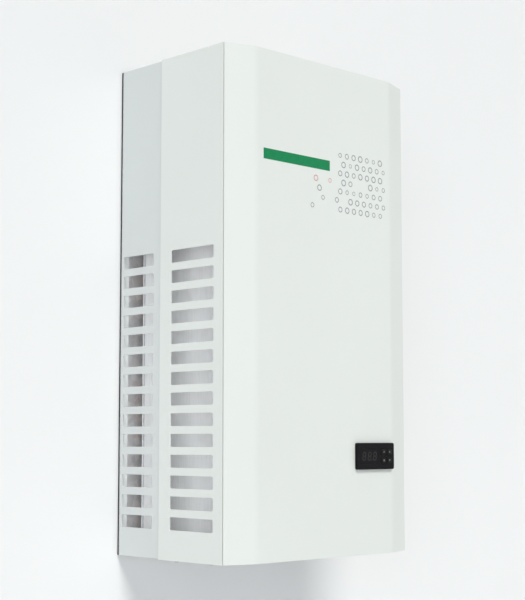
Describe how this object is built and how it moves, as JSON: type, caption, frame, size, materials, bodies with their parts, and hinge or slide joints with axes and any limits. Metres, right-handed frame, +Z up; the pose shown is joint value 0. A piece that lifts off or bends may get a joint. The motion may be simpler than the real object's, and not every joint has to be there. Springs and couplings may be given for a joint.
{
  "type": "through-wall monoblock refrigeration unit",
  "caption": "White vented condensing casing with a wall plug and a rear evaporator section; two turning fans, sprung controller keys, wall bolt holes and a cable inlet.",
  "frame": {"origin": "centre of the four wall bolt holes, on the wall face of the back plate", "axes": "+X to the right of the unit seen from the front, +Y into the wall, +Z up"},
  "size_m": [0.37, 0.6778, 0.715],
  "materials": {
    "white_coat": "smooth semi-gloss powder coat on folded sheet",
    "galvanised": "galvanised sheet with a faint spangle",
    "zinc_steel": "bright zinc plate",
    "stainless": "drawn stainless tube",
    "black_coat": "black baked enamel",
    "motor_metal": "dark cast housing with a satin coat",
    "fin_aluminium": "thin bright fins",
    "tray_aluminium": "plain rolled sheet",
    "copper": "drawn copper with brazed joints",
    "brass": "turned brass",
    "black_rubber": "matt closed-cell rubber",
    "black_plastic": "fine-grained moulded plastic",
    "grey_plastic": "plain moulded plastic",
    "ivory_plastic": "plain moulded plastic",
    "display_plastic": "dark tinted clear plastic",
    "key_plastic": "satin moulded plastic",
    "foam": "rigid cut foam"
  },
  "bodies": {
    "casing": {"back_plate": "galvanised", "left_rear_side": "white_coat", "right_rear_side": "white_coat", "rear_top": "white_coat", "base_pan": "galvanised", "left_front_side": "white_coat", "right_front_side": "white_coat", "front_top": "white_coat", "front_panel": "white_coat", "wall_seal": "black_rubber", "casing_screws": "zinc_steel", "compressor_shell": "black_coat", "compressor_terminal_cover": "black_plastic", "compressor_grommets": "black_rubber", "compressor_bolts": "zinc_steel", "condenser_fins": "fin_aluminium", "condenser_tubes": "copper", "condenser_end_plates": "galvanised", "condenser_fan_shroud": "galvanised", "condenser_fan_bracket": "galvanised", "condenser_fan_motor": "motor_metal", "filter_drier": "copper", "capillary_tube": "copper", "discharge_pipe": "copper", "suction_pipe": "copper", "liquid_pipe": "copper", "service_valves": "brass", "pressure_switch": "brass", "condensate_tray": "black_plastic", "drain_pipe": "grey_plastic", "drain_outlet": "grey_plastic", "electrical_box": "galvanised", "electrical_box_lid": "galvanised", "terminal_block": "ivory_plastic", "contactor": "grey_plastic", "run_capacitor": "tray_aluminium", "cable_gland": "grey_plastic", "controller_housing": "black_plastic", "controller_window": "display_plastic", "plug_foam": "foam", "plug_sleeve": "white_coat", "evaporator_top": "white_coat", "evaporator_left": "white_coat", "evaporator_right": "white_coat", "evaporator_fan_panel": "white_coat", "drip_tray": "tray_aluminium", "evaporator_fins": "fin_aluminium", "evaporator_tubes": "copper", "evaporator_end_plates": "galvanised", "evaporator_fan_motor": "motor_metal", "evaporator_fan_guard": "black_coat", "defrost_heater": "stainless", "air_probe": "stainless"},
    "condenser_fan": {"condenser_fan_blades": "black_plastic"},
    "evaporator_fan": {"evaporator_fan_blades": "black_plastic"},
    "set_key": {"key_set": "key_plastic"},
    "up_key": {"key_up": "key_plastic"},
    "down_key": {"key_down": "key_plastic"},
    "defrost_key": {"key_defrost": "key_plastic"}
  },
  "joints": [
    {"name": "condenser_fan_spin", "type": "hinge", "parent": "casing", "child": "condenser_fan", "pos_m": [-0.0846, -0.1084, -0.1183], "axis": [1, 0, 0], "continuous": true},
    {"name": "evaporator_fan_spin", "type": "hinge", "parent": "casing", "child": "evaporator_fan", "pos_m": [0, 0.374, 0.188], "axis": [0, 1, 0], "continuous": true},
    {"name": "set_key_press", "type": "slide", "parent": "casing", "child": "set_key", "axis": [0, 1, 0], "range_m": [0, 0.0006], "stiffness_N_per_m": 1000},
    {"name": "up_key_press", "type": "slide", "parent": "casing", "child": "up_key", "axis": [0, 1, 0], "range_m": [0, 0.0006], "stiffness_N_per_m": 1000},
    {"name": "down_key_press", "type": "slide", "parent": "casing", "child": "down_key", "axis": [0, 1, 0], "range_m": [0, 0.0006], "stiffness_N_per_m": 1000},
    {"name": "defrost_key_press", "type": "slide", "parent": "casing", "child": "defrost_key", "axis": [0, 1, 0], "range_m": [0, 0.0006], "stiffness_N_per_m": 1000}
  ]
}
